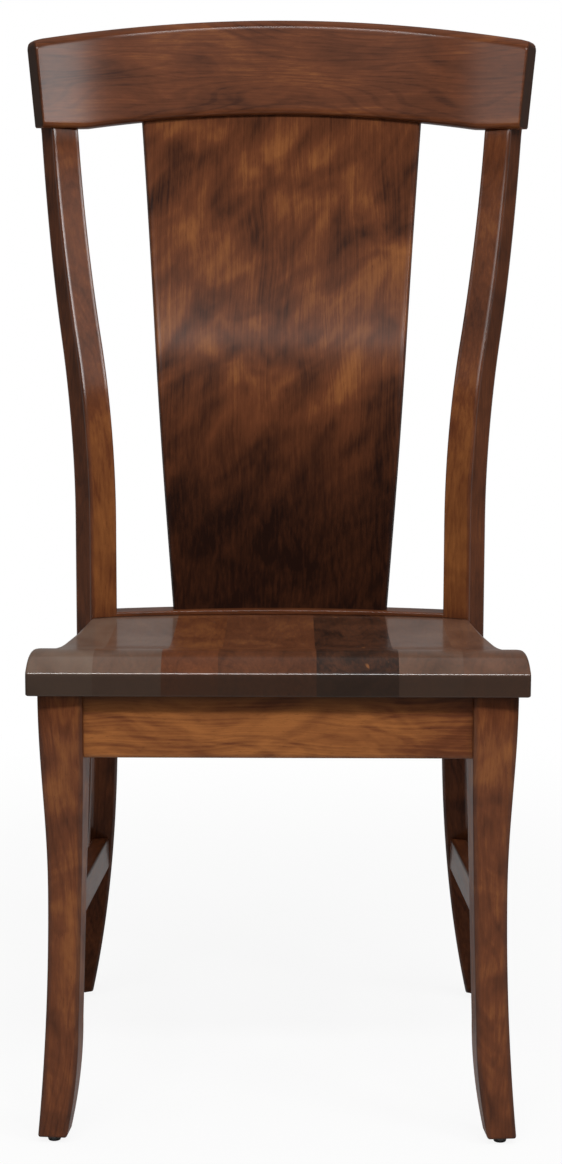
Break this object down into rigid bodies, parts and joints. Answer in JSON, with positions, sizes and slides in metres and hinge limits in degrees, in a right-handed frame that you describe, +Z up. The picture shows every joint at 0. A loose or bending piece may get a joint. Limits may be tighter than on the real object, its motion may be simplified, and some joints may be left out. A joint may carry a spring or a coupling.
{
  "type": "side chair",
  "caption": "Armless wooden dining chair with a scooped board seat, sabre legs and a bent back splat under an arched crest rail.",
  "frame": {"origin": "on the floor, under the centre of the chair's own box", "axes": "+Z up; the front of the chair faces -Y; +X to the right of someone who faces its front"},
  "size_m": [0.53, 0.5508, 1.043],
  "materials": {
    "back": "satin stained wood",
    "splat": "satin stained wood",
    "seat": "satin stained wood",
    "frame": "satin stained wood",
    "hidden": "plain unstained wood",
    "glide": "matt",
    "steel": "satin"
  },
  "bodies": {
    "root": {"back_splat": "splat", "crest_dowels": "hidden", "crest_rail": "back", "front_apron": "frame", "glide_nails": "steel", "left_apron": "frame", "left_back_post": "back", "left_front_block": "hidden", "left_front_glide": "glide", "left_front_leg": "frame", "left_rear_block": "hidden", "left_rear_glide": "glide", "left_stretcher": "frame", "rear_rail": "frame", "right_apron": "frame", "right_back_post": "back", "right_front_block": "hidden", "right_front_glide": "glide", "right_front_leg": "frame", "right_rear_block": "hidden", "right_rear_glide": "glide", "right_stretcher": "frame", "seat_board_1": "seat", "seat_board_2": "seat", "seat_board_3": "seat", "seat_board_4": "seat", "seat_board_5": "seat", "seat_board_6": "seat", "seat_board_7": "seat", "seat_screws": "steel"}
  },
  "joints": []
}
